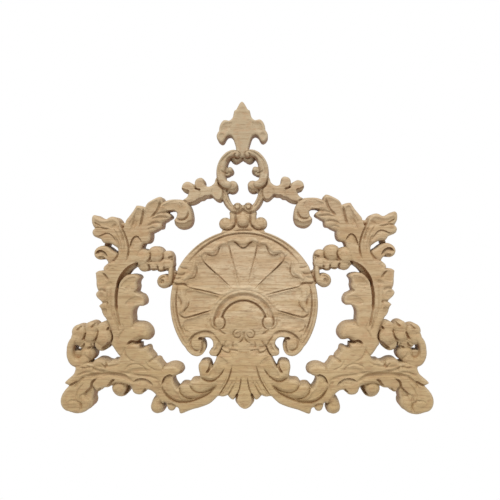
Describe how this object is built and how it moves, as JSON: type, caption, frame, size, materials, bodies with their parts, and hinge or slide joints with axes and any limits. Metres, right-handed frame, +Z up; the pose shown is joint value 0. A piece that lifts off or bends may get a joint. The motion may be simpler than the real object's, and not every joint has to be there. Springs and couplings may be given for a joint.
{
  "type": "carved wood ornament",
  "caption": "Flat-backed openwork wood carving with a shell disc, scrolling leaves, berries, a pendant plume and a finial, fixed to a wall or to furniture by its back.",
  "frame": {"origin": "on the flat back face, behind the centre of the shell disc", "axes": "+X to the viewer's right along the width, +Y through the back into the wall, +Z up to the finial; the carved front faces -Y"},
  "size_m": [0.48, 0.026, 0.4041],
  "materials": {
    "wood": "raw, unvarnished, sanded"
  },
  "bodies": {
    "root": {"carved_ornament": "wood"}
  },
  "joints": []
}
